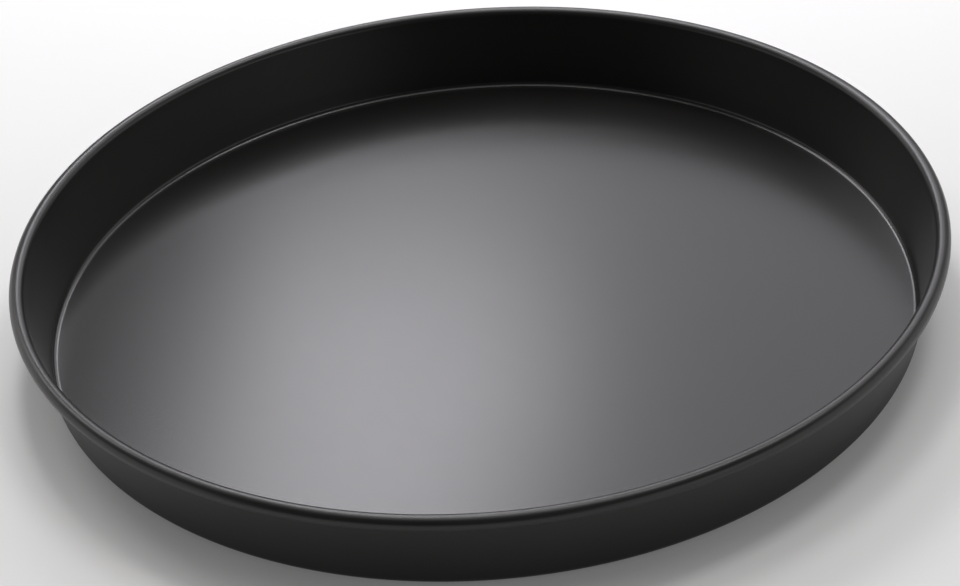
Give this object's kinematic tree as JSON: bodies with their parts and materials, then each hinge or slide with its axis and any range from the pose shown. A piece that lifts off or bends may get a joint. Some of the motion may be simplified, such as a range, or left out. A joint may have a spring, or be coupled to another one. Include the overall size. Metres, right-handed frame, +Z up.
{
  "type": "pizza pan",
  "caption": "Shallow round pizza pan in dark coated sheet metal, with a flat cooking floor, a low flared side wall and a rolled rim stiffened by a wire.",
  "frame": {"origin": "centre of the pan's underside, on the surface it stands on", "axes": "+Z up along the pan's axis of revolution, out of its open top; X and Y are alike"},
  "size_m": [0.25, 0.25, 0.025],
  "materials": {
    "dark_coated_sheet": "dark charcoal non-stick coating, fine satin",
    "rim_wire_steel": "drawn steel wire"
  },
  "bodies": {
    "root": {"pan_shell": "dark_coated_sheet", "rim_wire": "rim_wire_steel"}
  },
  "joints": []
}
